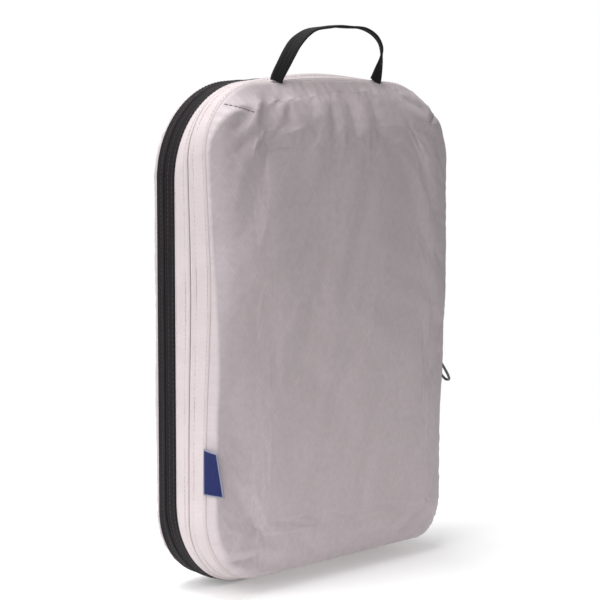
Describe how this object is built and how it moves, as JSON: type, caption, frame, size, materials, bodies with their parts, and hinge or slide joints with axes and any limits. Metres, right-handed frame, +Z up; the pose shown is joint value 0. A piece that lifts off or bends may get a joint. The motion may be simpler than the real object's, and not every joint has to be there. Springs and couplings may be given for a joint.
{
  "type": "compression packing cube",
  "caption": "Soft zipped travel organiser with rounded corners, webbing top handle, light compression zip, dark main zip and a lid that opens at the back",
  "frame": {"origin": "middle of the flat base: centre of the 254 mm width, and halfway between the front and rear seams in depth", "axes": "+Z up along the 360 mm height, front panel faces -Y, back panel (lid) faces +Y, +X is the right-hand wall seen from the front, where the sliders are"},
  "size_m": [0.2852, 0.0915, 0.399],
  "materials": {
    "ripstop_light": "coated nylon ripstop, soft sheen",
    "binding_light": "woven nylon binding",
    "zip_tape_light": "woven polyester tape",
    "zip_tape_black": "woven polyester tape",
    "coil_grey": "moulded coil",
    "coil_black": "moulded coil",
    "webbing_black": "woven webbing",
    "label_blue": "woven label",
    "metal_bright": "polished plated zinc and steel",
    "metal_dark": "black painted zinc"
  },
  "bodies": {
    "middle_band": {"compression_zip_rear_tape": "zip_tape_light", "compression_zip_rear_coil": "coil_grey", "compression_zip_rear_stops": "metal_bright", "expansion_gusset": "ripstop_light", "middle_binding": "binding_light", "main_zip_front_tape": "zip_tape_black", "main_zip_front_coil": "coil_black", "main_zip_front_stops": "metal_bright", "hinge_strip": "zip_tape_black"},
    "front_shell": {"front_panel": "ripstop_light", "front_binding": "binding_light", "compression_zip_front_tape": "zip_tape_light", "compression_zip_front_coil": "coil_grey", "compression_zip_front_stops": "metal_bright", "side_label": "label_blue", "handle_anchors": "webbing_black"},
    "lid": {"back_panel": "ripstop_light", "rear_binding": "binding_light", "main_zip_rear_tape": "zip_tape_black", "main_zip_rear_coil": "coil_black", "main_zip_rear_stops": "metal_bright", "hinge_flap": "zip_tape_black"},
    "handle": {"handle_strap": "webbing_black"},
    "compression_slider": {"compression_slider": "metal_bright"},
    "compression_pull": {"compression_pull": "metal_bright"},
    "main_slider_upper": {"main_slider_upper": "metal_dark"},
    "main_pull_upper": {"main_pull_upper": "metal_bright"},
    "main_slider_lower": {"main_slider_lower": "metal_dark"},
    "main_pull_lower": {"main_pull_lower": "metal_bright"}
  },
  "joints": [
    {"name": "expansion", "type": "slide", "parent": "middle_band", "child": "front_shell", "axis": [0, -1, 0], "range_m": [0, 0.03], "deforming": ["expansion_gusset"]},
    {"name": "lid_open", "type": "hinge", "parent": "middle_band", "child": "lid", "pos_m": [0, 0.0145, 0.36], "axis": [1, 0, 0], "range_deg": [0, 170]},
    {"name": "handle_fold", "type": "hinge", "parent": "front_shell", "child": "handle", "pos_m": [0, -0.0255, 0.362], "axis": [1, 0, 0], "range_deg": [-75, 75], "stiffness_Nm_per_rad": 0.006},
    {"name": "compression_slider_run", "type": "slide", "parent": "middle_band", "child": "compression_slider", "axis": [0, 0, 1], "range_m": [-0.082, 0]},
    {"name": "compression_pull_swing", "type": "hinge", "parent": "compression_slider", "child": "compression_pull", "pos_m": [0.13045, -0.011, 0.1555], "axis": [0, -1, 0], "range_deg": [-39, 135]},
    {"name": "main_slider_upper_run", "type": "slide", "parent": "middle_band", "child": "main_slider_upper", "axis": [0, 0, 1], "range_m": [0, 0.065]},
    {"name": "main_pull_upper_swing", "type": "hinge", "parent": "main_slider_upper", "child": "main_pull_upper", "pos_m": [0.13045, 0.0145, 0.224], "axis": [0, -1, 0], "range_deg": [0, 170]},
    {"name": "main_slider_lower_run", "type": "slide", "parent": "middle_band", "child": "main_slider_lower", "axis": [0, 0, 1], "range_m": [-0.098, 0]},
    {"name": "main_pull_lower_swing", "type": "hinge", "parent": "main_slider_lower", "child": "main_pull_lower", "pos_m": [0.13045, 0.0145, 0.17], "axis": [0, -1, 0], "range_deg": [0, 140]}
  ]
}
